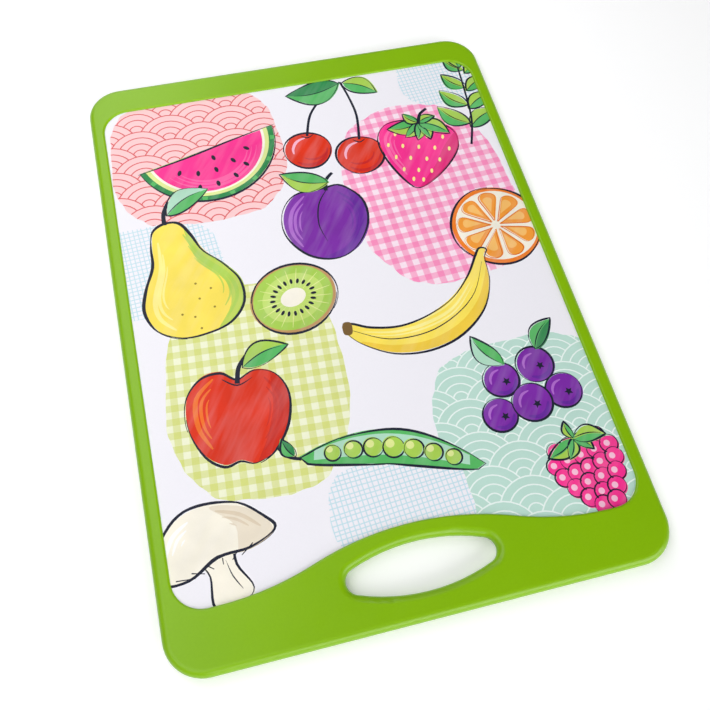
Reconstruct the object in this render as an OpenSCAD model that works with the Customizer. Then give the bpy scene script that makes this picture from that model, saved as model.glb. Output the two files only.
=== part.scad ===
// Kitchen cutting board: a stiff plastic board under a printed film, with a soft rim moulded round it.
// The board lies flat on z = 0. X is its width, Y its length, and the grip hole is at the -Y end.

/* [Board] */
// Overall width
board_w = 254; // [230:1:320]
// Overall length, from the grip end to the far end
board_l = 356.5; // [300:0.5:440]
// Overall thickness, through the soft rim
board_t = 8; // [7:0.2:11]
// Corner radius of the whole outline
corner_r = 20; // [12:0.5:26]

/* [Soft rim] */
// Width of the rim along each long side
rim_side = 8; // [6.5:0.1:14]
// Width of the rim across the far end
rim_far = 19.5; // [9:0.5:30]
// Width of the rim across the grip end, beside the arch
rim_near = 30; // [22:0.5:36]
// Height of the flat band left on the mould's parting line, between the two rounded edges
edge_land = 0.4; // [0.2:0.1:3]
// How far the rim stands proud of the panel, on each face
lip_h = 1.2; // [0.6:0.1:1.8]
// Radius that rounds the rim's lip beside the panel
lip_r = 1.2; // [0.4:0.1:1.8]

/* [Window] */
// Corner radius of the window that the rim leaves for the panel
window_r = 15.5; // [8:0.5:20]
// Straight edge between each foot of the arch and the window's corner
shoulder = 4.2; // [3:0.2:30]
// Radius of the arch's crown, over the grip hole
crown_r = 158; // [60:1:220]
// Width of the rim between the arch's crown and the grip hole
bridge = 8.8; // [7:0.2:14]

/* [Grip hole] */
// Length of the hole, tip to tip
grip_l = 76.2; // [70:0.2:120]
// Width of the hole at its middle
grip_w = 24.4; // [20:0.2:30]
// Radius of the hole's two tips
grip_tip_r = 6.5; // [3:0.5:9]
// Distance from the grip end of the board to the middle of the hole
grip_inset = 25.6; // [24:0.2:32]

/* [Panel] */
// Thickness of the printed film on the upper face
film_t = 0.2; // [0.1:0.05:0.4]
// Thickness of the board's tongue, which the rim wraps
tongue_t = 3.2; // [2:0.1:4]
// Soft material between the tongue and the outside of the rim
tongue_cover = 3.2; // [2.6:0.1:5]
// Soft material between the tongue and the grip hole
grip_cover = 6; // [4.6:0.1:8]

/* [Locking holes] */
// Radius of the small holes in the tongue's long sides
side_lock_r = 1.2; // [0.8:0.1:1.6]
// Spacing of the small holes
side_lock_pitch = 20; // [10:1:40]
// Radius of the large holes across the two ends
end_lock_r = 3.5; // [2:0.1:5]
// Spacing of the large holes
end_lock_pitch = 22; // [14:1:40]

/* [Hidden] */
$fn = 180;

// Levels of the board, from the underside up
mid_z = board_t / 2;
back_z = lip_h;
film_z = board_t - lip_h - film_t;
tongue_z = mid_z - tongue_t / 2;

// The rim's rounded edges, and the bands of material that carry them
edge_r = (board_t - edge_land) / 2;
lip_round = min(lip_r, lip_h);
band_seat = 1;
edge_band = edge_r + band_seat;
lip_band = lip_round + band_seat;

// The window, measured from the board's middle
window_x = board_w / 2 - rim_side;
window_far = board_l / 2 - rim_far;
window_near = rim_near - board_l / 2;

// A long arc and a short one that meet smoothly, over a given span and rise: the angle at which
// they meet, and their radii added up or taken from each other, both to a thousandth
function fine(v) = round(v * 1000) / 1000;
function meet_angle(span, rise) = fine(2 * atan2(rise, span));
function meet_radius(span, rise) = fine((span * span + rise * rise) / (2 * rise));

// The grip hole: two long arcs, joined by the arcs of its tips
grip_y = grip_inset - board_l / 2;
tip_angle = meet_angle(grip_l / 2 - grip_tip_r, grip_w / 2 - grip_tip_r);
side_r = meet_radius(grip_l / 2 - grip_tip_r, grip_w / 2 - grip_tip_r) + grip_tip_r;
tip_x = (side_r - grip_tip_r) * sin(tip_angle);
side_y = (side_r - grip_tip_r) * cos(tip_angle);

// The arch: a crown arc that turns into a foot arc on each side, both level at their ends
corner_x = window_x - window_r;
arch_span = corner_x - shoulder;
arch_rise = grip_y + grip_w / 2 + bridge - window_near;
arch_angle = meet_angle(arch_span, arch_rise);
foot_r = meet_radius(arch_span, arch_rise) - crown_r;
foot_x = (crown_r + foot_r) * sin(arch_angle);
foot_y = window_near + foot_r;
crown_y = foot_y - (crown_r + foot_r) * cos(arch_angle);

// Room that a cutting box takes past what it cuts
past = 4;

// Moves its children by x and y, first by whole thousandths and then by the rest
module set_at(x, y) {
    translate([fine(x), fine(y)]) translate([x - fine(x), y - fine(y)]) children();
}

// A quarter disc in the first quadrant
module quarter(r) {
    intersection() {
        circle(r);
        square(r + past);
    }
}

// The outline of the board, drawn in by inset on every side
module outline(inset) {
    x = board_w / 2 - corner_r;
    y = board_l / 2 - corner_r;
    r = corner_r - inset;
    square([2 * x, 2 * (y + r)], center = true);
    square([2 * (x + r), 2 * y], center = true);
    for (sx = [0, 1], sy = [0, 1])
        mirror([sx, 0]) mirror([0, sy]) translate([x, y]) quarter(r);
}

// The lens of the grip hole, grown by grow on every side
module grip_lens(grow) {
    x = fine((side_r + grow) * sin(tip_angle));
    intersection() {
        set_at(0, -side_y) circle(side_r + grow);
        set_at(0, side_y) circle(side_r + grow);
        square([2 * x, grip_w + 2 * grow + past], center = true);
    }
    for (side = [0, 1])
        mirror([side, 0])
            intersection() {
                set_at(tip_x, 0) circle(grip_tip_r + grow);
                translate([x, -grip_w / 2 - grow]) square([grip_l / 2, grip_w + 2 * grow]);
            }
}

// Half of the window on the +X side, grown by grow into the rim
module half_window(grow) {
    turn_x = fine((crown_r - grow) * sin(arch_angle));
    turn_y = fine(crown_y + (crown_r - grow) * cos(arch_angle));
    arch_x = fine(foot_x);
    level = fine(crown_y + crown_r + past);
    floor_y = window_near - grow;
    under = floor_y - past;
    far_y = window_far - window_r;
    near_y = window_near + window_r;
    // The far part, above the crown of the arch
    translate([0, level]) square([window_x + grow, far_y - level]);
    translate([0, far_y]) square([corner_x, window_r + grow]);
    translate([corner_x, far_y]) quarter(window_r + grow);
    // Over the crown arc
    difference() {
        translate([0, under]) square([turn_x, level - under]);
        set_at(0, crown_y) circle(crown_r - grow);
    }
    // Over the foot arc
    translate([turn_x, turn_y]) square([arch_x - turn_x, level - turn_y]);
    intersection() {
        translate([turn_x, under]) square([arch_x - turn_x, turn_y - under]);
        set_at(foot_x, foot_y) circle(foot_r + grow);
    }
    // Over the shoulder and the near corner
    translate([arch_x, floor_y]) square([corner_x - arch_x, level - floor_y]);
    translate([corner_x, near_y]) square([window_r + grow, level - near_y]);
    translate([corner_x, near_y]) mirror([0, 1]) quarter(window_r + grow);
}

module window(grow) {
    for (side = [0, 1]) mirror([side, 0]) half_window(grow);
}

// The centres of the holes along the tongue's long side, and across the ends of the +X half
side_lock_x = (window_x + board_w / 2 - tongue_cover) / 2;
side_lock_y = (window_far + window_near) / 2;
side_lock_n = floor(((window_far - window_near) / 2 - window_r) / side_lock_pitch);
far_lock_y = (window_far + board_l / 2 - tongue_cover) / 2;
near_lock_y = (window_near - board_l / 2 + tongue_cover) / 2;
grip_lock_x = grip_l / 2 + grip_cover + 2 * end_lock_r;

module lock_holes() {
    for (side = [0, 1])
        mirror([side, 0]) {
            for (k = [-side_lock_n : side_lock_n])
                translate([side_lock_x, side_lock_y + k * side_lock_pitch]) circle(side_lock_r);
            for (x = [end_lock_pitch / 2 : end_lock_pitch : corner_x])
                translate([x, far_lock_y]) circle(end_lock_r);
            for (x = [grip_lock_x : end_lock_pitch : corner_x])
                translate([x, near_lock_y]) circle(end_lock_r);
        }
}

// The tongue: a thin plate that runs out under the rim, open round the grip and at its locking holes
module tongue() {
    translate([0, 0, tongue_z])
        linear_extrude(tongue_t)
            difference() {
                outline(tongue_cover);
                translate([0, grip_y]) grip_lens(grip_cover);
                lock_holes();
            }
}

// A section of rim beside an edge at x = 0, its top and bottom rounded by r, running band deep to +X
module edge_section(r, band) {
    translate([r, 0]) square([band - r, board_t]);
    translate([0, r]) square([band, board_t - 2 * r]);
    translate([r, board_t - r]) mirror([1, 0]) quarter(r);
    translate([r, r]) rotate(180) quarter(r);
}

// A straight stretch of edge along +Y, with its material on the +X side
module straight_edge(length, r, band) {
    rotate([90, 0, 0]) mirror([0, 0, 1]) linear_extrude(length) edge_section(r, band);
}

// A stretch of edge round a hole or hollow corner, with its material outside the arc
module hollow_edge(arc_r, from, sweep, r, band) {
    rotate_extrude(angle = sweep, start = from) translate([arc_r, 0]) edge_section(r, band);
}

// A stretch of edge round an outer corner or crown, with its material inside the arc
module full_edge(arc_r, from, sweep, r, band) {
    rotate_extrude(angle = sweep, start = from)
        translate([arc_r, 0]) mirror([1, 0]) edge_section(r, band);
}

// The rounded edge of the whole board
module outer_edge() {
    x = board_w / 2 - corner_r;
    y = board_l / 2 - corner_r;
    for (side = [0, 1]) {
        mirror([side, 0, 0]) {
            translate([-board_w / 2, -y, 0]) straight_edge(2 * y, edge_r, edge_band);
            for (end = [0, 1])
                mirror([0, end, 0]) translate([x, y, 0]) full_edge(corner_r, 0, 90, edge_r, edge_band);
        }
        mirror([0, side, 0])
            translate([x, -board_l / 2, 0]) rotate([0, 0, 90]) straight_edge(2 * x, edge_r, edge_band);
    }
}

// The rounded edge of the grip hole
module grip_edge() {
    for (side = [0, 1]) {
        mirror([0, side, 0])
            set_at(0, -side_y) hollow_edge(side_r, 90 - tip_angle, 2 * tip_angle, edge_r, edge_band);
        mirror([side, 0, 0])
            set_at(tip_x, 0)
                hollow_edge(grip_tip_r, tip_angle - 90, 180 - 2 * tip_angle, edge_r, edge_band);
    }
}

// A straight stretch of lip along +X, with its material on the -Y side
module lip_bar(length) {
    rotate([0, 0, -90]) straight_edge(length, lip_round, lip_band);
}

// The rounded lip round the window
module lip_edge() {
    side_l = window_far - window_near - 2 * window_r;
    for (side = [0, 1])
        mirror([side, 0, 0]) {
            translate([window_x, window_near + window_r, 0]) straight_edge(side_l, lip_round, lip_band);
            translate([corner_x, window_far - window_r, 0])
                hollow_edge(window_r, 0, 90, lip_round, lip_band);
            translate([corner_x, window_near + window_r, 0])
                hollow_edge(window_r, -90, 90, lip_round, lip_band);
            // The shoulder's two stretches overlap in its middle
            translate([corner_x, window_near, 0]) mirror([1, 0, 0]) lip_bar(0.6 * shoulder);
            set_at(foot_x, window_near) lip_bar(0.6 * shoulder);
            set_at(foot_x, foot_y) hollow_edge(foot_r, -90 - arch_angle, arch_angle, lip_round, lip_band);
        }
    set_at(0, crown_y) full_edge(crown_r, 90 - arch_angle, 2 * arch_angle, lip_round, lip_band);
    translate([-corner_x, window_far, 0]) mirror([0, 1, 0]) lip_bar(2 * corner_x);
}

// The stiff board: a thick panel that fills the window, and the tongue that the rim holds
module core_board() {
    color("white") {
        translate([0, 0, back_z]) linear_extrude(film_z - back_z) window(0);
        tongue();
    }
}

// The printed film, bonded to the panel's upper face inside the window
module printed_film() {
    color("lavender") translate([0, 0, film_z]) linear_extrude(film_t) window(0);
}

// The soft rim: moulded over the tongue, with plugs that run through its locking holes
module soft_rim() {
    color("yellowgreen")
        difference() {
            union() {
                linear_extrude(board_t)
                    difference() {
                        outline(edge_band);
                        window(lip_band);
                        translate([0, grip_y]) grip_lens(edge_band);
                    }
                outer_edge();
                lip_edge();
                translate([0, grip_y, 0]) grip_edge();
            }
            tongue();
        }
}

core_board();
printed_film();
soft_rim();
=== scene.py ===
"""The looks of a kitchen cutting board: a white board under a printed film, held in a soft green rim."""

import math

import bmesh
import bpy
import numpy as np
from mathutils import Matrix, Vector
from mathutils.geometry import delaunay_2d_cdt


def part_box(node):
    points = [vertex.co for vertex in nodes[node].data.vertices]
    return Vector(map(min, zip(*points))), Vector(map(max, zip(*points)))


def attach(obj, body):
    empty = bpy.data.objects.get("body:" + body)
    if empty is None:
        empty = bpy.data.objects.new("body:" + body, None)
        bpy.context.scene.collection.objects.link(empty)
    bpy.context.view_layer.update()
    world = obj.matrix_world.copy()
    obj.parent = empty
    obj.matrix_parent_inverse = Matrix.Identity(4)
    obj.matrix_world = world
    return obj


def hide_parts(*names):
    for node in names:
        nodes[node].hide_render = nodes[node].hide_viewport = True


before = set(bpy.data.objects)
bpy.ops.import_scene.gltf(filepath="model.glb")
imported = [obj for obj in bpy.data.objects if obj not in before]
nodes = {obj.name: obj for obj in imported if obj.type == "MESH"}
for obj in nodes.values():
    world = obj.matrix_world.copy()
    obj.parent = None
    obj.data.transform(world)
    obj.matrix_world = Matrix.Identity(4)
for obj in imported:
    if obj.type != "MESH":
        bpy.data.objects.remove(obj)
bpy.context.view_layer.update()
scene = bpy.context.scene
MM = 0.001


# Camera, in metres and degrees, at the photograph's viewing angle
FOCAL_SHARE = 788.484 / 710  # focal length over the image's width
camera_data = bpy.data.cameras.new("camera")
camera_data.sensor_width = 36
camera_data.lens = FOCAL_SHARE * camera_data.sensor_width
camera_data.clip_start = 0.01
camera = bpy.data.objects.new("camera", camera_data)
camera.location = (-0.06352, -0.21074, 0.39335)
camera.rotation_euler = [math.radians(a) for a in (25.347, -2.203, -13.960)]
scene.collection.objects.link(camera)
scene.camera = camera
scene.view_settings.view_transform = "Standard"


# Helpers for node trees
def new_tree(name):
    material = bpy.data.materials.new(name)
    material.use_nodes = True
    tree = material.node_tree
    tree.nodes.clear()
    return material, tree


def add(tree, kind, inputs=None, **settings):
    node = tree.nodes.new("ShaderNode" + kind)
    for key, value in settings.items():
        setattr(node, key, value)
    for key, value in (inputs or {}).items():
        if isinstance(value, bpy.types.NodeSocket):
            tree.links.new(value, node.inputs[key])
        else:
            node.inputs[key].default_value = value
    return node


def noise(tree, scale, detail, stretch=(1, 1, 1), turn=0.0):
    """Noise over the row frame's own coordinates, in cycles per metre."""
    place = add(tree, "TexCoord").outputs["Object"]
    turned = add(tree, "Mapping", {"Vector": place, "Rotation": (0, 0, math.radians(turn))}).outputs["Vector"]
    fitted = add(tree, "Mapping", {"Vector": turned, "Scale": stretch}).outputs["Vector"]
    return add(tree, "TexNoise", {"Vector": fitted, "Scale": scale, "Detail": detail}).outputs["Fac"]


def spread(tree, value, low, high):
    """The middle range of a value from 0 to 1 turned into low to high."""
    limits = {"From Min": 0.3, "From Max": 0.7, "To Min": low, "To Max": high}
    return add(tree, "MapRange", {"Value": value, **limits}).outputs["Result"]


def linear(r, g, b):
    """A colour of 0 to 255 as linear numbers."""
    return [c / 12.92 if c <= 0.04045 else ((c + 0.055) / 1.055) ** 2.4 for c in (r / 255, g / 255, b / 255)]


def rgba(*colour):
    return (*linear(*colour), 1)


def blend_colour(tree, factor, a, b, mode="MIX"):
    made = add(tree, "Mix", data_type="RGBA", blend_type=mode)
    for key, value in (("Factor_Float", factor), ("A_Color", a), ("B_Color", b)):
        socket = next(s for s in made.inputs if s.identifier == key)
        if isinstance(value, bpy.types.NodeSocket):
            tree.links.new(value, socket)
        else:
            socket.default_value = value
    return next(s for s in made.outputs if s.identifier == "Result_Color")


def surface(tree, colour, roughness, height, depth, specular=0.5):
    """A Principled surface with its colour, roughness and fine relief from nodes."""
    bump = add(tree, "Bump", {"Height": height, "Strength": 1.0, "Distance": depth})
    inputs = {"Base Color": colour, "Roughness": roughness, "Normal": bump.outputs["Normal"]}
    shader = add(tree, "BsdfPrincipled", {**inputs, "Specular IOR Level": specular})
    add(tree, "OutputMaterial", {"Surface": shader.outputs["BSDF"]})


# Soft rim: satin rubber with a very fine grain
def rim_material():
    material, tree = new_tree("rim_rubber")
    clouds = spread(tree, noise(tree, 14, 2), 0, 1)
    colour = blend_colour(tree, clouds, rgba(131, 181, 1), rgba(136, 186, 3))
    specks = spread(tree, noise(tree, 900, 1), 0.985, 1.015)
    colour = blend_colour(tree, 1.0, colour, specks, "MULTIPLY")
    roughness = spread(tree, noise(tree, 120, 3), 0.29, 0.34)
    surface(tree, colour, roughness, noise(tree, 2600, 2), 0.000008, specular=0.38)
    return material


# White board: matt plastic with a fine leather-like grain
def board_material():
    material, tree = new_tree("board_plastic")
    clouds = spread(tree, noise(tree, 20, 2), 0, 1)
    colour = blend_colour(tree, clouds, rgba(238, 236, 242), rgba(242, 240, 246))
    place = add(tree, "TexCoord").outputs["Object"]
    cells = add(tree, "TexVoronoi", {"Vector": place, "Scale": 700.0}, feature="SMOOTH_F1")
    roughness = spread(tree, noise(tree, 150, 3), 0.46, 0.56)
    surface(tree, colour, roughness, cells.outputs["Distance"], 0.00006)
    return material


# Printed film: satin over the inks, whose colours are in the mesh
PAPER_WHITE = rgba(243, 241, 248)


def film_material():
    material, tree = new_tree("film_print")
    ink = add(tree, "Attribute", attribute_name="ink", attribute_type="GEOMETRY")
    marks = noise(tree, 190, 2, stretch=(1.0, 0.16, 1.0), turn=35)
    pools = noise(tree, 45, 2)
    darker = blend_colour(tree, 1.0, ink.outputs["Color"], spread(tree, pools, 0.90, 1.05), "MULTIPLY")
    paler = blend_colour(tree, spread(tree, marks, -0.03, 0.075), darker, PAPER_WHITE)
    colour = blend_colour(tree, ink.outputs["Alpha"], ink.outputs["Color"], paler)
    paper = spread(tree, noise(tree, 1400, 1), 0.985, 1.0)
    colour = blend_colour(tree, 1.0, colour, paper, "MULTIPLY")
    roughness = spread(tree, noise(tree, 160, 3), 0.42, 0.50)
    surface(tree, colour, roughness, noise(tree, 1800, 2), 0.00001, specular=0.18)
    return material


# Floor: white, with some light of its own where a camera sees it, so that the lamps' falloff hardly shows
FLOOR_LIFT = 0.17
FAR_LIFT = 0.9  # what is added far from the board, where the floor runs into the white behind it
FADE_START = 0.42
FADE_END = 1.0
FLOOR_SEEN = (0.98, 0.98, 0.985, 1)
FLOOR_LIT = (0.86, 0.86, 0.87, 1)  # its colour to the light that it throws back on the board


def floor_material():
    material, tree = new_tree("floor_white")
    ray = add(tree, "LightPath").outputs
    by_camera = ray["Is Camera Ray"]
    seen = add(tree, "Math", {0: by_camera, 1: ray["Is Glossy Ray"]}, operation="MAXIMUM")
    near = add(tree, "Math", {0: seen.outputs[0], 1: FLOOR_LIFT}, operation="MULTIPLY")
    place = add(tree, "TexCoord").outputs["Object"]
    away = add(tree, "VectorMath", {0: place}, operation="LENGTH").outputs["Value"]
    reach = {"From Min": FADE_START, "From Max": FADE_END, "To Min": 0.0, "To Max": FAR_LIFT}
    fade = add(tree, "MapRange", {"Value": away, **reach}).outputs["Result"]
    far = add(tree, "Math", {0: by_camera, 1: fade}, operation="MULTIPLY")
    lift = add(tree, "Math", {0: near.outputs[0], 1: far.outputs[0]}, operation="ADD")
    grain = spread(tree, noise(tree, 400, 2), 0.99, 1.0)
    white = blend_colour(tree, seen.outputs[0], FLOOR_LIT, FLOOR_SEEN)
    colour = blend_colour(tree, 1.0, white, grain, "MULTIPLY")
    diffuse = add(tree, "BsdfDiffuse", {"Color": colour})
    glow = add(tree, "Emission", {"Color": (1, 1, 1, 1), "Strength": lift.outputs[0]})
    both = add(tree, "AddShader", {0: diffuse.outputs[0], 1: glow.outputs[0]})
    add(tree, "OutputMaterial", {"Surface": both.outputs[0]})
    return material


def dress(obj, material):
    obj.data.materials.clear()
    obj.data.materials.append(material)


dress(nodes["soft_rim"], rim_material())
dress(nodes["core_board"], board_material())


# The print. Its drawing is in millimetres over the row frame, and each later layer covers the earlier ones
layers = []  # each is its points, its ink, the layer that it shows inside or None, and how much it covers


def paint(r, g, b, wash=1.0):
    """An ink as linear numbers, with how much the brush marks and pools show in it."""
    return (*linear(r, g, b), wash)


INK = paint(30, 34, 52, 0.0)
PAPER = (*PAPER_WHITE[:3], 0.0)
HOT_PINK = paint(252, 50, 148)
PINK = paint(255, 112, 176)
PALE_PINK = paint(255, 196, 222)
RED = paint(224, 50, 18)
DEEP_RED = paint(196, 34, 20)
ORANGE = paint(245, 130, 40)
YELLOW = paint(253, 228, 92)
LEMON = paint(255, 243, 150)
LIME = paint(170, 210, 84)
PALE_LIME = paint(226, 236, 150)
GREEN = paint(88, 186, 100)
DEEP_GREEN = paint(46, 140, 78)
MINT = paint(176, 222, 196)
PURPLE = paint(126, 44, 168)
LILAC = paint(186, 116, 214)
VIOLET = paint(98, 40, 156)
CREAM = paint(252, 246, 230)
TAN = paint(196, 150, 96)


def layer(points, colour, inside=None, cover=1.0):
    """Puts a layer over the others. Returns its number."""
    layers.append((np.asarray(points, float), colour, inside, cover))
    return len(layers) - 1


def spline(points, closed=True, steps=5):
    """A smooth curve through points."""
    p = np.asarray(points, float)
    n = len(p)
    out = []
    for i in range(n if closed else n - 1):
        if closed:
            a, b, c, d = (p[(i + k) % n] for k in (-1, 0, 1, 2))
        else:
            a, b, c, d = (p[min(max(i + k, 0), n - 1)] for k in (-1, 0, 1, 2))
        square, cube = 2 * a - 5 * b + 4 * c - d, 3 * b - a - 3 * c + d
        for s in range(steps):
            t = s / steps
            out.append(0.5 * (2 * b + (c - a) * t + square * t**2 + cube * t**3))
    if not closed:
        out.append(p[-1])
    return np.array(out)


def round_shape(x, y, rx, ry=None, turn=0, n=36, power=2.0):
    """An ellipse, or with a higher power a rounder rectangle."""
    ry = rx if ry is None else ry
    t = np.arange(n) * 2 * math.pi / n
    c, s = np.cos(t), np.sin(t)
    px = rx * np.sign(c) * np.abs(c) ** (2 / power)
    py = ry * np.sign(s) * np.abs(s) ** (2 / power)
    a = math.radians(turn)
    return np.stack([x + px * math.cos(a) - py * math.sin(a), y + px * math.sin(a) + py * math.cos(a)], 1)


def directions(turn):
    """Ahead and to the left, turned by degrees."""
    a = math.radians(turn)
    return np.array([math.cos(a), math.sin(a)]), np.array([-math.sin(a), math.cos(a)])


def on_arc(x, y, r, angles):
    """Points round x, y at angles in radians."""
    return [(x + r * math.cos(a), y + r * math.sin(a)) for a in angles]


def star(x, y, inner, outer):
    """A star of five points round x, y."""
    corners = [(outer if k % 2 else inner, k * math.pi / 5) for k in range(10)]
    return [(x + r * math.cos(a), y + r * math.sin(a)) for r, a in corners]


def stroke(p, width, weights, colour, inside=None, cover=1.0):
    """A stroke along p as short four-sided layers, with its weight at each point."""
    ahead = np.diff(p, axis=0)
    ahead /= np.linalg.norm(ahead, axis=1)[:, None] + 1e-9
    along = np.concatenate([ahead[:1], ahead[:-1] + ahead[1:], ahead[-1:]])
    along /= np.linalg.norm(along, axis=1)[:, None] + 1e-9
    thick = (0.5 * width * weights)[:, None]
    half = thick * np.stack([-along[:, 1], along[:, 0]], 1)
    for i in range(len(p) - 1):
        a, b = half[i], half[i + 1]
        step = p[i + 1] - p[i]
        least = 0.05 * np.dot(step, step)
        if min(np.dot(step + b - a, step), np.dot(step - b + a, step)) < least:
            # In a sharp turn a side would run backward, so this piece is cut off square
            across = np.array([-ahead[i][1], ahead[i][0]])
            a, b = thick[i] * across, thick[i + 1] * across
        layer([p[i] - a, p[i + 1] - b, p[i + 1] + b, p[i] + a], colour, inside, cover)


class Pen:
    """Draws a motif in its own coordinates, then turns it and places it on the film."""

    SLIP = 0.75  # how far the pen lines are printed beside the washes
    WAVER = 0.42  # how far the outline of a large motif strays
    ONE_STROKE = 70  # an outline shorter than this is drawn in one stroke
    TWO_STROKES = 150  # and one shorter than this in two
    THIN = 0.34  # the weight of an outline where its strokes lift
    SWELL = 1.16  # what pressing adds to it

    def __init__(self, x, y, turn):
        self.at = np.array([x, y], float)
        self.turn = np.array(directions(turn))
        seed = int(5000 + 7 * x + 3 * y)
        self.random = np.random.default_rng(seed)
        way = self.random.uniform(0, 2 * math.pi)
        self.slip = self.SLIP * np.array([math.cos(way), math.sin(way)])

    def put(self, points):
        return np.asarray(points, float) @ self.turn + self.at

    def fill(self, points, colour, inside=None, cover=1.0):
        return layer(self.put(points), colour, inside, cover)

    def line(self, points, width=0.9, closed=False, colour=INK, taper=True):
        """A pen line. A closed one is drawn as one to three strokes that press, lift and overlap."""
        p = self.put(points) + self.slip
        if not closed:
            t = np.linspace(0, 1, len(p))
            weights = np.sin(math.pi * np.clip(t, 0.05, 0.95) ** self.random.uniform(0.7, 1.4)) ** 0.7
            stroke(p, width, weights if taper else np.linspace(1.15, 0.85, len(p)), colour)
            return
        n = len(p)
        around = np.linalg.norm(np.roll(p, -1, 0) - p, axis=1).sum()
        middle = p.mean(0)
        strokes = 1 if around < self.ONE_STROKE else 2 if around < self.TWO_STROKES else 3
        begin = int(self.random.integers(n))
        waver = self.WAVER * min(1.0, around / 100)
        for k in range(strokes):
            count = int(n / strokes * (1.03 if strokes == 1 else 1.10)) + 2
            at = (begin + k * n // strokes + np.arange(count)) % n
            t = np.linspace(0, 1, count)
            phase, press = self.random.uniform(0, 2 * math.pi), self.random.uniform(0.6, 1.7)
            out = waver * np.sin(2 * math.pi * 1.3 * t + phase)
            away = p[at] - middle
            away /= np.linalg.norm(away, axis=1)[:, None] + 1e-9
            weights = self.THIN + self.SWELL * np.sin(math.pi * t**press) ** 1.4
            stroke(p[at] + out[:, None] * away, width, weights, colour)

    def gleam(self, points, colour, inside, width, cover=0.75, marks=3):
        """Brush marks side by side that follow the form, the widest outside."""
        path = spline(points, False)
        for k in range(marks):
            p = path[k * 2 : len(path) - k * 2] * (1 - 0.13 * k)
            weights = np.sin(math.pi * np.linspace(0.04, 0.96, len(p))) ** 0.6
            stroke(self.put(p), width * (1 - 0.28 * k), weights, colour, inside, cover)

    def shape(self, points, colour, width=0.9):
        """A filled smooth outline in ink. Returns its layer."""
        outline = spline(points)
        at = self.fill(outline, colour)
        self.line(outline, width, closed=True)
        return at


def leaf(pen, x, y, length, turn, colour, light, wide=0.34):
    """A pointed leaf from its stalk at x, y, with a lighter half and a midrib."""
    along, side = directions(turn)
    base = np.array([x, y], float)
    t = np.linspace(0, 1, 15)
    bulge = wide * length * np.sin(math.pi * t**0.85) ** 0.9 * 0.72
    bend = 0.10 * length * np.sin(math.pi * t)
    mid = base + np.outer(t * length, along) + np.outer(bend, side)
    up, down = mid + bulge[:, None] * side, mid - bulge[:, None] * side
    whole = np.concatenate([up, down[-2:0:-1]])
    pen.fill(whole, colour)
    pen.fill(np.concatenate([mid, up[-2:0:-1]]), light)
    pen.line(whole, 0.8, closed=True)
    pen.line(mid[:-2], 0.7)


def pear(pen):
    body = [(0, 37), (8, 34), (12, 24), (15, 11), (23, -2), (28, -15), (25, -29), (14, -38), (0, -40)]
    body += [(-14, -38), (-25, -29), (-28, -15), (-23, -2), (-15, 11), (-12, 24), (-8, 34)]
    skin = pen.shape(body, YELLOW, 1.0)
    shade = [(9, 30), (15, 10), (29, -10), (27, -34), (4, -42), (17, -28), (19, -12), (9, 6)]
    pen.fill(spline(shade), LIME, skin, 0.8)
    pen.gleam([(7, 26), (12, 8), (22, -10), (22, -24), (12, -35)], LIME, skin, 2.4)
    pen.gleam([(-8, 26), (-12, 8), (-21, -10), (-22, -22), (-16, -32)], LEMON, skin, 2.8, 0.9)
    for x, y in ((2, -18), (8, -26), (-4, -28), (10, -14), (-10, -24), (3, -8), (-3, -36)):
        pen.fill(round_shape(x, y, 0.7, n=8), paint(150, 130, 50, 0))
    pen.line(spline(body), 1.0, closed=True)
    pen.line(spline([(0, 36), (2, 44), (7, 51)], False), 2.4, taper=False)
    leaf(pen, 3, 42, 30, 18, GREEN, MINT)


def strawberry(pen):
    body = [(0, -29), (9, -23), (19, -9), (25, 6), (22, 18), (11, 23), (0, 21)]
    body += [(-11, 23), (-22, 18), (-25, 6), (-19, -9), (-9, -23)]
    skin = pen.shape(body, HOT_PINK, 1.0)
    shade = [(24, 16), (28, 2), (12, -22), (0, -31), (10, -12), (16, 4)]
    pen.fill(spline(shade), paint(222, 30, 112), skin, 0.7)
    pen.gleam([(-17, 17), (-21, 6), (-16, -8), (-7, -20)], PINK, skin, 2.2)
    seeds = {11: (-15, -5, 5, 15), 2: (-19, -10, 0, 10, 19), -7: (-14, -5, 5, 13)}
    seeds |= {-16: (-9, 0, 8), -23: (-3, 3)}
    for y, xs in seeds.items():
        for x in xs:
            pen.fill(round_shape(x, y, 0.9, 1.7, n=10), LEMON)
    for turn, length in ((200, 21), (238, 15), (270, 14), (302, 15), (340, 21)):
        leaf(pen, 0, 22, length, turn, GREEN, LIME, 0.36)
    leaf(pen, 0, 22, 12, 150, GREEN, LIME, 0.36)
    leaf(pen, 0, 22, 12, 30, GREEN, LIME, 0.36)
    pen.line(spline([(0, 22), (1, 29), (5, 34)], False), 2.0, taper=False)


def cherries(pen):
    for x, y, r in ((-17, -20, 14.5), (15, -27, 15)):
        skin = pen.fill(round_shape(x, y, r, r * 0.95), RED)
        low = on_arc(x, y, r * 0.8, (-2.3, -1.8, -1.2, -0.6, 0.0))
        pen.gleam(low, paint(190, 30, 40), skin, 2.4, 0.7, 2)
        high = on_arc(x, y, r * 0.66, (1.7, 2.1, 2.5, 3.0, 3.4))
        pen.gleam(high, PALE_PINK, skin, 1.9, 0.8, 1)
        pen.line(round_shape(x, y, r, r * 0.95), 1.0, closed=True)
        pen.line(spline([(x - 3, y + r * 0.80), (x + 1, y + r * 0.66), (x + 5, y + r * 0.82)], False), 0.9)
    pen.line(spline([(-16, -9), (-12, 8), (-2, 22), (10, 33)], False), 1.5, taper=False)
    pen.line(spline([(16, -15), (17, 4), (14, 20), (10, 33)], False), 1.5, taper=False)
    leaf(pen, 9, 32, 36, 192, DEEP_GREEN, GREEN, 0.36)
    leaf(pen, 11, 32, 24, 335, GREEN, LIME, 0.40)


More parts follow.
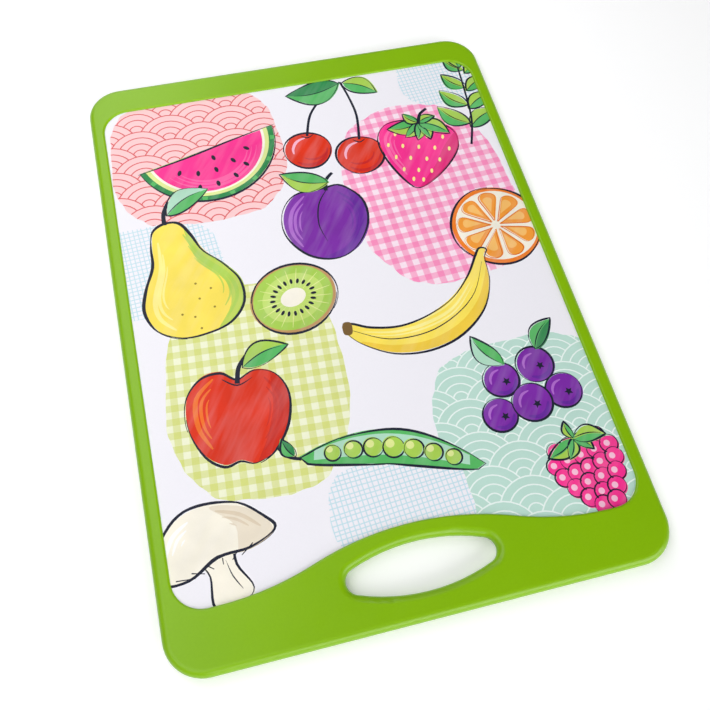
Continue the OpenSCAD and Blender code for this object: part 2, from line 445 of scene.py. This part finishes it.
def citrus_slice(pen):
    r = 27
    pen.fill(round_shape(0, 0, r, n=48), ORANGE)
    pen.line(round_shape(0, 0, r, n=48), 1.0, closed=True)
    pen.fill(round_shape(0, 0, r - 2.6, n=48), CREAM)
    # Each cell: degrees from its middle, and share of the flesh's radius
    cell_form = [(-14, 0.55), (-15, 0.86), (-9, 0.97), (0, 1.0), (9, 0.97)]
    cell_form += [(15, 0.86), (14, 0.55), (7, 0.22), (0, 0.13), (-7, 0.22)]
    for k in range(9):
        a = math.radians(k * 40 + 8)
        wedge = []
        for degrees, share in cell_form:
            b = a + math.radians(degrees)
            wedge.append(((r - 3.8) * share * math.cos(b), (r - 3.8) * share * math.sin(b)))
        outline = spline(wedge, steps=3)
        cell = pen.fill(outline, paint(250, 160, 60))
        centre = np.mean(outline, 0)
        pen.fill(centre + (outline - centre) * 0.55 + [-0.8, 0.8], paint(255, 196, 110), cell)
        pen.line(outline, 0.45, closed=True, colour=paint(220, 110, 30, 0))


def kiwi_slice(pen):
    rind = round_shape(0, 0, 25, 21.5, n=40)
    pen.fill(rind, TAN)
    pen.line(rind, 1.0, closed=True)
    pen.fill(round_shape(0, 0, 23.2, 19.8, n=40), LIME)
    pen.fill(round_shape(0, 0, 18, 15, n=36), paint(196, 224, 112))
    for k in range(20):
        a = k * math.pi / 10 + 0.1
        c, s = math.cos(a), math.sin(a)
        pen.line([(8 * c, 6.6 * s), (14 * c, 11.8 * s), (21.5 * c, 18.2 * s)], 0.7, colour=PALE_LIME)
    for k in range(20):
        a = (k + 0.5) * math.pi / 10 + 0.1
        pen.fill(round_shape(12 * math.cos(a), 10 * math.sin(a), 1.7, 0.85, math.degrees(a), n=10), INK)
    pen.fill(round_shape(0, 0, 7.5, 5.6, n=24), CREAM)


def plum(pen):
    body = [(0, 24), (12, 25), (23, 14), (25, -3), (17, -19)]
    body += [(3, -26), (-12, -23), (-23, -10), (-25, 6), (-17, 20)]
    outline = spline(body)
    skin = pen.fill(outline, PURPLE)
    shade = [(14, 26), (28, 10), (26, -12), (10, -28), (-8, -27), (10, -18), (18, -2), (16, 14)]
    pen.fill(spline(shade), VIOLET, skin, 0.6)
    pen.gleam([(8, 21), (19, 10), (20, -6), (11, -20)], VIOLET, skin, 2.4, 0.6)
    pen.gleam([(-12, 19), (-20, 8), (-21, -6), (-15, -17)], LILAC, skin, 2.4, 0.7)
    pen.line(outline, 1.0, closed=True)
    pen.line(spline([(2, 22), (-3, 12), (-4, -2), (0, -14)], False), 0.9)
    pen.line(spline([(2, 22), (3, 30), (7, 35)], False), 2.2, taper=False)
    leaf(pen, 4, 28, 30, 165, GREEN, LIME)


def melon_wedge(pen):
    r = 44

    def arc(radius, top):
        t = np.linspace(math.radians(188), math.radians(352), 30)
        return np.stack([radius * np.cos(t), radius * np.sin(t) + top], 1)

    rind = arc(r, 14)
    pen.fill(rind, DEEP_GREEN)
    for k in range(7):
        a = math.radians(202 + k * 23)
        c, s = math.cos(a), math.sin(a)
        pen.line([(r * c * q, r * s * q + 14) for q in (0.93, 0.96, 1.0)], 3.0, colour=GREEN, taper=False)
    pen.fill(arc(r - 3.6, 13.4), PALE_LIME)
    pen.fill(arc(r - 6.4, 12.8), CREAM)
    flesh = pen.fill(arc(r - 8.2, 12.2), HOT_PINK)
    for q in (0.88, 0.78, 0.70):
        mark = arc(r - 8.2, 12.2)[3:-3] * q
        stroke(pen.put(mark), 1.9, np.sin(np.linspace(0.1, 3.0, len(mark))), PINK, flesh, 0.6)
    seeds = [(-22, -2), (-12, -7), (-1, -9), (11, -7), (22, -2)]
    seeds += [(-15, -17), (-4, -19), (8, -18), (17, -13), (1, 0)]
    for x, y in seeds:
        pen.fill(round_shape(x, y, 1.2, 2.1, x * 1.6, n=12), INK)
    pen.line(rind, 1.5)
    pen.line(spline([rind[-1] + [1.5, 0.6], (16, 8.4), (-14, 7.6), rind[0] + [-1.2, 0.2]], False), 1.4)


def apple(pen):
    body = [(0, 20), (9, 25), (20, 22), (27, 10), (26, -7), (18, -21), (8, -27), (0, -25)]
    body += [(-8, -27), (-18, -21), (-26, -7), (-27, 10), (-20, 22), (-9, 25)]
    outline = spline(body)
    skin = pen.fill(outline, RED)
    shade = [(18, 26), (30, 8), (26, -14), (8, -30), (14, -14), (18, 4)]
    pen.fill(spline(shade), DEEP_RED, skin, 0.7)
    pen.gleam([(14, 20), (22, 8), (20, -8), (12, -21)], DEEP_RED, skin, 2.4, 0.7)
    pen.gleam([(-13, 21), (-22, 10), (-21, -6), (-14, -18)], ORANGE, skin, 2.6, 0.7)
    pen.line(outline, 1.0, closed=True)
    pen.line(spline([(-8, 21), (0, 17), (8, 21)], False), 0.9)
    pen.line(spline([(0, 18), (1, 27), (5, 34)], False), 2.4, taper=False)
    leaf(pen, 3, 27, 28, 25, GREEN, LIME)


def banana(pen):
    body = [(-46, 16), (-42, 6), (-30, -8), (-12, -17), (8, -19), (28, -13), (42, 0), (49, 14), (53, 18)]
    body += [(50, 21), (45, 18), (34, 10), (18, 3), (0, 1), (-18, 4), (-32, 12), (-40, 20), (-45, 21)]
    outline = spline(body)
    skin = pen.fill(outline, YELLOW)
    shade = [(-42, 7), (-28, -4), (-10, -12), (10, -13), (28, -7), (42, 4)]
    shade += [(54, 16), (44, -6), (26, -20), (0, -24), (-30, -14)]
    pen.fill(spline(shade), paint(242, 200, 60), skin, 0.8)
    for drop, wide in ((0.0, 2.0), (2.4, 1.1), (-3.2, 1.0)):
        path = spline([(x, y - drop) for x, y in ((-38, 12), (-22, 2), (-4, -3), (14, -3), (32, 5))], False)
        stroke(pen.put(path), wide, np.sin(np.linspace(0.1, 3.0, len(path))), LEMON, skin, 0.9)
    pen.line(spline([(-42, 16), (-28, 1), (-8, -7), (12, -7), (30, -1), (46, 13)], False), 0.7)
    pen.line(outline, 1.0, closed=True)
    pen.fill(spline([(-47, 16), (-44, 22), (-40, 20), (-43, 14)]), paint(120, 92, 50, 0))


def pea_pod(pen):
    t = np.linspace(0, 1, 25)
    x = -48 + 96 * t
    mid = 9 * np.sin(math.pi * t) - 4
    half = 9.5 * np.sin(math.pi * np.clip(t, 0.015, 0.985)) ** 0.6
    whole = np.concatenate([np.stack([x, mid + half], 1), np.stack([x, mid - half], 1)[-2:0:-1]])
    pen.fill(whole, GREEN)
    upper, lower = np.stack([x, mid + half * 0.72], 1), np.stack([x, mid - half * 0.5], 1)
    pen.fill(np.concatenate([upper[2:-2], lower[-3:1:-1]]), MINT)
    for k in range(7):
        px = -31 + k * 10.4
        py = float(np.interp(px, x, mid))
        r = 5.6 - abs(k - 3) * 0.45
        pen.fill(round_shape(px, py, r, n=24), LIME)
        pen.fill(round_shape(px - 1.3, py + 1.4, r * 0.42, n=14), PALE_LIME)
        pen.line(round_shape(px, py, r, n=24), 0.7, closed=True)
    pen.line(whole, 1.0, closed=True)
    pen.line(spline([(-47, -3), (-54, -2), (-60, 3)], False), 1.6, taper=False)
    leaf(pen, -50, -2, 12, 130, DEEP_GREEN, GREEN, 0.4)


def mushroom(pen):
    pen.shape([(-8, 2), (-7, -10), (-10, -24), (0, -28), (10, -24), (7, -10), (8, 2)], CREAM)
    pen.line(spline([(3, -6), (3, -14), (5, -22)], False), 0.6)
    cap = [(-30, -2), (-26, 12), (-12, 23), (4, 24), (20, 17), (29, 4)]
    cap += [(30, -3), (16, -6), (0, -3), (-16, -7)]
    skin = pen.shape(cap, CREAM)
    shade = [(30, 0), (22, 14), (6, 22), (14, 8), (10, -8), (24, -9)]
    pen.fill(spline(shade), paint(226, 210, 186), skin, 0.6)
    pen.gleam([(8, 19), (18, 12), (25, 2)], paint(216, 196, 166), skin, 2.0, 0.6)
    pen.gleam([(-24, 6), (-16, 16), (-6, 20)], paint(255, 255, 255, 0), skin, 2.2, 0.9)
    pen.line(spline(cap), 1.0, closed=True)
    for x in (-22, -14, -6, 2, 10, 18):
        pen.line([(x, -4.4), (x * 0.6, -7.4)], 0.5, taper=False)


def blueberries(pen):
    for x, y, r in ((-13, 9, 10), (8, 14, 10.5), (-20, -10, 9.5), (18, -4, 10), (-1, -7, 11)):
        skin = pen.fill(round_shape(x, y, r, n=30), PURPLE)
        pen.gleam(on_arc(x, y, r * 0.74, (-2.2, -1.5, -0.8, -0.1)), VIOLET, skin, 2.4, 0.8, 1)
        pen.gleam(on_arc(x, y, r * 0.66, (1.6, 2.2, 2.8, 3.3)), LILAC, skin, 1.5, 0.8, 1)
        pen.line(round_shape(x, y, r, n=30), 0.9, closed=True)
        pen.fill(star(x + 2, y - 1, 1.2, 2.6), INK)
    leaf(pen, -9, 17.5, 24, 122, GREEN, MINT)
    leaf(pen, 11, 22.5, 22, 48, DEEP_GREEN, GREEN)


def raspberry(pen):
    rows = {14: (-12, -4, 4, 12), 7: (-16, -8, 0, 8, 16), 0: (-15, -7.5, 0, 7.5, 15)}
    rows |= {-7: (-12, -4, 4, 12), -14: (-8, 0, 8), -20: (-3.5, 4)}
    for y, xs in rows.items():
        for x in xs:
            pen.fill(round_shape(x, y, 4.9, n=18), HOT_PINK)
            pen.fill(round_shape(x - 1.2, y + 1.4, 1.7, n=12), PALE_PINK)
            pen.line(round_shape(x, y, 4.9, n=18), 0.6, closed=True)
    for turn, length in ((195, 18), (232, 12), (308, 12), (345, 18), (90, 10)):
        leaf(pen, 0, 17, length, turn, GREEN, LIME, 0.36)


def sprig(pen):
    for k in range(4):
        y = -20 + k * 15
        leaf(pen, 1, y, 24 - 2.5 * k, 38, GREEN, LIME, 0.36)
        leaf(pen, 1, y + 3, 24 - 2.5 * k, 146, LIME, GREEN, 0.36)
    leaf(pen, -2, 30, 18, 96, GREEN, LIME, 0.36)
    pen.line(spline([(0, -34), (2, -14), (0, 8), (-3, 30)], False), 1.3, taper=False)


# Patches of traditional patterns behind the motifs
def patch(x, y, rx, ry, turn=0, power=2.6):
    """A rounded patch with a wavering edge."""
    edge = round_shape(x, y, rx, ry, turn, n=112, power=power)
    t = np.arange(len(edge)) * 2 * math.pi / len(edge)
    waver = 1 + 0.010 * np.sin(7 * t + x) + 0.007 * np.sin(13 * t + y) + 0.005 * np.sin(29 * t + rx)
    return (edge - (x, y)) * waver[:, None] + (x, y)


def gingham(outline, colour, turn, pale):
    """Two sets of stripes that half cover, so that their crossings are the strongest."""
    pitch = 7.6
    inside = layer(outline, pale)
    centre = outline.mean(0)
    reach = np.abs(outline - centre).max() * 1.3
    u, v = directions(turn)
    count = int(reach / pitch) + 1
    for along, across in ((u, v), (v, u)):
        for k in range(-count, count + 1):
            low, high = k * pitch, (k + 0.5) * pitch
            corners = [(-reach, low), (reach, low), (reach, high), (-reach, high)]
            layer([centre + s * along + t * across for s, t in corners], colour, inside, 0.5)


def fan(x, y, r):
    """The upper part of a disc: what the next rows of scallops leave in sight."""
    start, end, corners = -18, 198, 19
    t = np.radians(np.linspace(start, end, corners))
    return np.stack([x + r * np.cos(t), y + r * np.sin(t)], 1)


def scallops(outline, colour, pale):
    """Overlapping rows of rings, drawn from the far end so that each row covers the one behind it."""
    r, rings, rise, ink_width = 19.0, 4, 0.5, 0.75
    inside = layer(outline, pale)
    low, high = outline.min(0) - r, outline.max(0) + r
    rows = int((high[1] - low[1]) / (r * rise)) + 1
    for k in range(rows, -1, -1):
        y = low[1] + k * r * rise
        x = low[0] + (r if k % 2 else 0)
        while x < high[0]:
            near = np.min(np.linalg.norm(outline - [x, y], axis=1)) < r * 1.2
            if near or (low[0] + r < x < high[0] - r and low[1] + r < y < high[1] - r):
                for ring in range(rings):
                    outer = r * (1 - ring / rings)
                    layer(fan(x, y, outer), colour, inside)
                    layer(fan(x, y, outer - ink_width), pale, inside)
            x += 2 * r


def hatching(outline, colour):
    """Two crossing sets of fine lines, each a little out of true."""
    pitch, turn, half_width, askew = 2.6, 4.0, 0.32, 1.2
    inside = layer(outline, PAPER)
    centre = outline.mean(0)
    reach = np.abs(outline - centre).max() * 1.2
    random = np.random.default_rng(7)
    count = int(reach / pitch) + 1
    for base in (turn, turn + 90):
        for k in range(-count, count + 1):
            u, v = directions(base + random.uniform(-askew, askew))
            ends = [(-reach, -half_width), (reach, -half_width), (reach, half_width), (-reach, half_width)]
            at = centre + v * k * pitch
            layer([at + s * u + t * v for s, t in ends], colour, inside, 0.8)


def follow_round(follow, first):
    """The corners of a loop in order, from a table of corner to next corner."""
    ring, at = [first], follow[first]
    while at is not first:
        ring.append(at)
        at = follow[at]
    return ring


def film_outline():
    """The edge of the CAD film's upper face as a loop, in millimetres, and its two levels in metres."""
    low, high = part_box("printed_film")
    same_place = 1e-6
    work = bmesh.new()
    work.from_mesh(nodes["printed_film"].data)
    bmesh.ops.remove_doubles(work, verts=work.verts, dist=same_place)
    top = {f for f in work.faces if f.normal.z > 0.9}
    follow = {}
    for face in top:
        for loop in face.loops:
            if any(f not in top for f in loop.edge.link_faces):
                follow[loop.vert] = loop.link_loop_next.vert
    first = min(follow, key=lambda v: (v.co.x, v.co.y))
    points = np.array([(v.co.x, v.co.y) for v in follow_round(follow, first)]) / MM
    work.free()
    return points, low.z, high.z


def draw():
    """The whole print: the patches, then the motifs."""
    gingham(patch(66, 62, 50, 66, 4), paint(250, 92, 170, 0.4), 3, paint(254, 230, 243, 0.2))
    gingham(patch(-60, -42, 48, 62, -6), paint(206, 214, 78, 0.4), -3, paint(242, 245, 214, 0.2))
    scallops(patch(-66, 116, 52, 50, 0, 3.0), paint(222, 98, 102, 0), paint(252, 206, 208, 0.3))
    scallops(patch(80, -98, 54, 52, 0, 3.0), paint(236, 248, 244, 0), paint(190, 224, 212, 0.3))
    for x, y, rx, ry in ((-104, 40, 40, 30), (104, 148, 34, 24), (-2, -122, 36, 26)):
        hatching(patch(x, y, rx, ry, 0, 3.2), paint(190, 222, 234, 0))
    sprig(Pen(108, 122, -12))
    melon_wedge(Pen(-58, 112, 14))
    cherries(Pen(20, 124, -6))
    strawberry(Pen(68, 92, -16))
    citrus_slice(Pen(98, 28, 0))
    pear(Pen(-86, 34, 10))
    plum(Pen(0, 52, -8))
    kiwi_slice(Pen(-30, 6, 20))
    banana(Pen(42, -22, 20))
    apple(Pen(-72, -56, -8))
    blueberries(Pen(82, -78, 0))
    pea_pod(Pen(0, -96, -15))
    raspberry(Pen(98, -126, 10))
    mushroom(Pen(-96, -124, 14))


def cut_up():
    """Cuts the layers up where they cross: the corners, and each triangle with the layers that it is in."""
    only_inside, same_place = 1, 1e-5
    points, faces = [], []
    for p, _, _, _ in layers:
        ring = list(range(len(points), len(points) + len(p)))
        points += [Vector(q) for q in p]
        twice_area = np.sum(p[:, 0] * np.roll(p[:, 1], -1) - p[:, 1] * np.roll(p[:, 0], -1))
        faces.append(ring if twice_area > 0 else ring[::-1])
    flat, _, triangles, _, _, owners = delaunay_2d_cdt(points, [], faces, only_inside, same_place)
    return flat, zip(triangles, owners)


def in_box(box, x, y):
    low, high = box
    return low[0] < x < high[0] and low[1] < y < high[1]


def mixed_colour(shown, owners):
    """The inks of the layers shown, one over another."""
    colour = np.array(PAPER)
    for i in shown:
        _, ink, inside, cover = layers[i]
        if inside is None or inside in owners:
            colour = colour * (1 - cover) + np.array(ink) * cover
    return colour


def coloured_triangles(board):
    """The corners of the print, and each triangle of it on the board layer with its colour."""
    flat, pieces = cut_up()
    spare = 0.05
    boxes = [(p.min(0) - spare, p.max(0) + spare) for p, _, _, _ in layers]
    kept, known = [], {}
    for triangle, owners in pieces:
        if board not in owners:
            continue
        x, y = sum((flat[i] for i in triangle), Vector((0, 0))) / 3
        shown = tuple(i for i in sorted(owners) if in_box(boxes[i], x, y))
        if shown not in known:
            known[shown] = mixed_colour(shown, owners)
        kept.append((triangle, known[shown]))
    return flat, kept


def film_piece():
    """The film as a thin closed piece: the print on top, plain walls and a plain underside."""
    outline, low, high = film_outline()
    board = layer(outline, PAPER)
    draw()
    flat, kept = coloured_triangles(board)
    work = bmesh.new()
    ink = work.loops.layers.float_color.new("ink")
    used = sorted({i for triangle, _ in kept for i in triangle})
    upper = {i: work.verts.new((flat[i][0] * MM, flat[i][1] * MM, high)) for i in used}
    for triangle, colour in kept:
        face = work.faces.new([upper[i] for i in triangle])
        for loop in face.loops:
            loop[ink] = colour
    work.normal_update()
    for face in work.faces:
        if face.normal.z < 0:
            face.normal_flip()
    border = [e.link_loops[0] for e in work.edges if e.is_boundary]
    follow = {loop.vert: loop.link_loop_next.vert for loop in border}
    lower = {v: work.verts.new((v.co.x, v.co.y, low)) for v in follow}
    plain = [work.faces.new([b, a, lower[a], lower[b]]) for a, b in follow.items()]
    ring = follow_round(follow, next(iter(follow)))
    plain.append(work.faces.new([lower[v] for v in reversed(ring)]))
    for face in plain:
        for loop in face.loops:
            loop[ink] = PAPER
    mesh = bpy.data.meshes.new("film_print")
    work.to_mesh(mesh)
    work.free()
    film = bpy.data.objects.new("film_print", mesh)
    scene.collection.objects.link(film)
    mesh.materials.append(film_material())
    return film


film = film_piece()
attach(film, "root")
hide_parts("printed_film")


# Stage: a white floor, soft lights from behind and from the left, and a low one from the near side
FLOOR_REACH = 3.0
FLOOR_DROP = 0.0002  # keeps the floor clear of the rim's underside
floor_mesh = bpy.data.meshes.new("floor")
corners = [(x * FLOOR_REACH, y * FLOOR_REACH, 0) for x, y in ((-1, -1), (1, -1), (1, 1), (-1, 1))]
floor_mesh.from_pydata(corners, [], [(0, 1, 2, 3)])
floor = bpy.data.objects.new("floor", floor_mesh)
floor.location.z = -FLOOR_DROP
scene.collection.objects.link(floor)
floor_mesh.materials.append(floor_material())


def soft_light(name, place, size, power):
    """A white area lamp that points at the middle of the board."""
    data = bpy.data.lights.new(name, "AREA")
    data.shape = "RECTANGLE"
    data.size, data.size_y = size
    data.energy = power
    lamp = bpy.data.objects.new(name, data)
    lamp.location = place
    lamp.rotation_euler = (-Vector(place)).to_track_quat("-Z", "Y").to_euler()
    lamp.visible_camera = False
    scene.collection.objects.link(lamp)


soft_light("key", (-0.21, 0.29, 0.56), (0.6, 0.6), 2.2)
soft_light("near", (1.0, -2.08, 1.0), (3.2, 1.5), 60)
soft_light("far", (-0.2, 1.09, 0.51), (0.7, 0.5), 2.0)
soft_light("fill", (-0.5, -0.35, 0.8), (0.8, 0.8), 3.5)


# Room: white to the camera, and a faint light from walls that is weaker from overhead
def studio_world():
    world = bpy.data.worlds.new("studio")
    world.use_nodes = True
    scene.world = world
    tree = world.node_tree
    tree.nodes.clear()
    ray = add(tree, "LightPath").outputs
    seen = add(tree, "Math", {0: ray["Is Camera Ray"], 1: ray["Is Transmission Ray"]}, operation="MAXIMUM")
    up = add(tree, "SeparateXYZ", {0: add(tree, "TexCoord").outputs["Generated"]}).outputs["Z"]
    walls = spread(tree, up, 0.16, 0.06)
    ambient = add(tree, "Background", {"Color": (0.98, 0.99, 1.0, 1), "Strength": walls})
    white = add(tree, "Background", {"Color": (1, 1, 1, 1), "Strength": 1.0})
    both = add(tree, "MixShader", {0: seen.outputs[0], 1: ambient.outputs[0], 2: white.outputs[0]})
    add(tree, "OutputWorld", {"Surface": both.outputs[0]})


studio_world()
